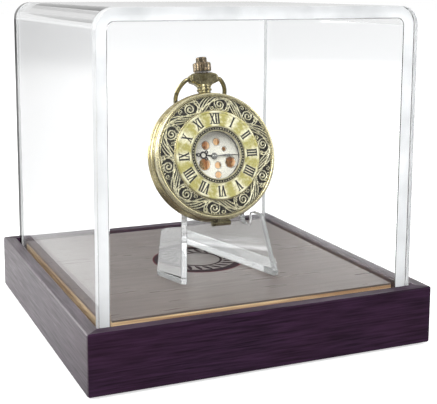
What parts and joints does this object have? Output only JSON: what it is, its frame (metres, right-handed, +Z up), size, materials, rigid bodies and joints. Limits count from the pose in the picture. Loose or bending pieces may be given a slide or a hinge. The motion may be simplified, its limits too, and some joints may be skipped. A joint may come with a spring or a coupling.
{
  "type": "pocket watch display box",
  "caption": "Square wooden plinth with a lift-off clear cover over a half-hunter pocket watch leaning on a clear easel.",
  "frame": {"origin": "centre of the base's underside, on the plane its pads stand on", "axes": "+Z up, front face towards -Y, +X to the right seen from the front"},
  "size_m": [0.12, 0.12, 0.1141],
  "materials": {
    "dark_wood": "satin dark stained veneer",
    "bare_ply": "bare plywood edge",
    "pad_rubber": "matte",
    "clear_acrylic": "clear polished acrylic sheet",
    "clear_stand": "clear moulded plastic",
    "case_gold": "aged polished gilt",
    "lid_silver": "silvered relief on a dark ground",
    "numeral_gold": "pale mottled gold",
    "tick_ring": "gilt with dark beads",
    "watch_glass": "clear",
    "dial_white": "silvered white",
    "movement_brass": "gilt",
    "movement_steel": "polished",
    "blued_steel": "black polished",
    "pale_steel": "polished"
  },
  "bodies": {
    "base": {"base_rail_front": "dark_wood", "base_rail_right": "dark_wood", "base_rail_back": "dark_wood", "base_rail_left": "dark_wood", "platform_core": "bare_ply", "platform_veneer": "dark_wood", "base_bottom": "dark_wood", "bumper_feet": "pad_rubber"},
    "cover": {"cover_bend": "clear_acrylic", "cover_front": "clear_acrylic", "cover_back": "clear_acrylic"},
    "stand": {"watch_stand": "clear_stand"},
    "watch": {"case_middle": "case_gold", "case_back": "case_gold", "crystal": "watch_glass", "pendant": "case_gold", "hinge_pin": "case_gold", "dial": "dial_white", "main_plate": "movement_brass", "train_bridge": "movement_brass", "balance_cock": "movement_brass"},
    "lid": {"lid": "lid_silver", "lid_numeral_ring": "numeral_gold", "lid_tick_ring": "tick_ring", "lid_glass": "watch_glass"},
    "bow": {"bow": "case_gold"},
    "sleeve": {"stem_sleeve": "case_gold"},
    "crown": {"crown": "case_gold", "winding_stem": "movement_steel"},
    "minute": {"minute_hand": "pale_steel"},
    "hour": {"hour_hand": "blued_steel"},
    "centre": {"centre_wheel": "movement_brass"},
    "barrel": {"barrel": "movement_brass"},
    "third": {"third_wheel": "movement_brass"},
    "fourth": {"fourth_wheel": "movement_brass"},
    "escape": {"escape_wheel": "movement_steel"},
    "lever": {"pallet_lever": "movement_steel"},
    "balance": {"balance_wheel": "movement_brass"}
  },
  "joints": [
    {"name": "cover_lift", "type": "slide", "parent": "base", "child": "cover", "axis": [0, 0, 1], "range_m": [0, 0.11]},
    {"name": "stand_lift", "type": "slide", "parent": "base", "child": "stand", "axis": [0, 0, 1], "range_m": [0, 0.002]},
    {"name": "watch_lift", "type": "slide", "parent": "stand", "child": "watch", "axis": [0, 0, 1], "range_m": [0, 0.003]},
    {"name": "lid_hinge", "type": "hinge", "parent": "watch", "child": "lid", "pos_m": [0.00196, -0.01428, 0.0376], "axis": [0.9997, -0.0262, 0], "range_deg": [0, 45]},
    {"name": "bow_swing", "type": "hinge", "parent": "watch", "child": "bow", "pos_m": [0.00242, 0.00321, 0.08699], "axis": [0.9997, -0.0262, 0], "range_deg": [0, 235]},
    {"name": "crown_pull", "type": "slide", "parent": "watch", "child": "sleeve", "axis": [0.0072, 0.2755, 0.9613], "range_m": [-0.0003, 0.001]},
    {"name": "crown_turn", "type": "hinge", "parent": "sleeve", "child": "crown", "pos_m": [0.00243, 0.00395, 0.08958], "axis": [0.0072, 0.2755, 0.9613], "continuous": true},
    {"name": "minute_turn", "type": "hinge", "parent": "watch", "child": "minute", "pos_m": [0.00213, -0.00755, 0.06053], "axis": [0.0252, 0.9609, -0.2756], "continuous": true},
    {"name": "hour_turn", "type": "hinge", "parent": "watch", "child": "hour", "pos_m": [0.00214, -0.00716, 0.06042], "axis": [0.0252, 0.9609, -0.2756], "continuous": true},
    {"name": "fourth_turn", "type": "hinge", "parent": "watch", "child": "fourth", "pos_m": [0.00988, -0.00321, 0.05621], "axis": [0.0252, 0.9609, -0.2756], "continuous": true},
    {"name": "third_turn", "type": "hinge", "parent": "watch", "child": "third", "pos_m": [0.00851, -0.00262, 0.06143], "axis": [0.0252, 0.9609, -0.2756], "continuous": true},
    {"name": "centre_turn", "type": "hinge", "parent": "watch", "child": "centre", "pos_m": [0.00223, -0.00394, 0.0595], "axis": [0.0252, 0.9609, -0.2756], "continuous": true},
    {"name": "barrel_turn", "type": "hinge", "parent": "watch", "child": "barrel", "pos_m": [-0.00471, -0.00318, 0.05425], "axis": [0.0252, 0.9609, -0.2756], "continuous": true},
    {"name": "escape_turn", "type": "hinge", "parent": "watch", "child": "escape", "pos_m": [0.00815, -0.00567, 0.05219], "axis": [0.0252, 0.9609, -0.2756], "continuous": true},
    {"name": "balance_swing", "type": "hinge", "parent": "watch", "child": "balance", "pos_m": [0.00517, -0.00623, 0.04598], "axis": [0.0252, 0.9609, -0.2756], "range_deg": [-135, 135], "stiffness_Nm_per_rad": 0.0000008},
    {"name": "lever_rock", "type": "hinge", "parent": "watch", "child": "lever", "pos_m": [0.00643, -0.0066, 0.04881], "axis": [0.0252, 0.9609, -0.2756], "range_deg": [-5, 5]}
  ],
  "couplings": [
    {"joint": "hour_turn", "follows": "minute_turn", "ratio": 0.083333},
    {"joint": "third_turn", "follows": "fourth_turn", "ratio": -0.13333},
    {"joint": "centre_turn", "follows": "fourth_turn", "ratio": 0.016667},
    {"joint": "barrel_turn", "follows": "fourth_turn", "ratio": -0.0020833},
    {"joint": "escape_turn", "follows": "fourth_turn", "ratio": -10},
    {"joint": "lever_rock", "follows": "balance_swing", "ratio": -0.037037}
  ]
}
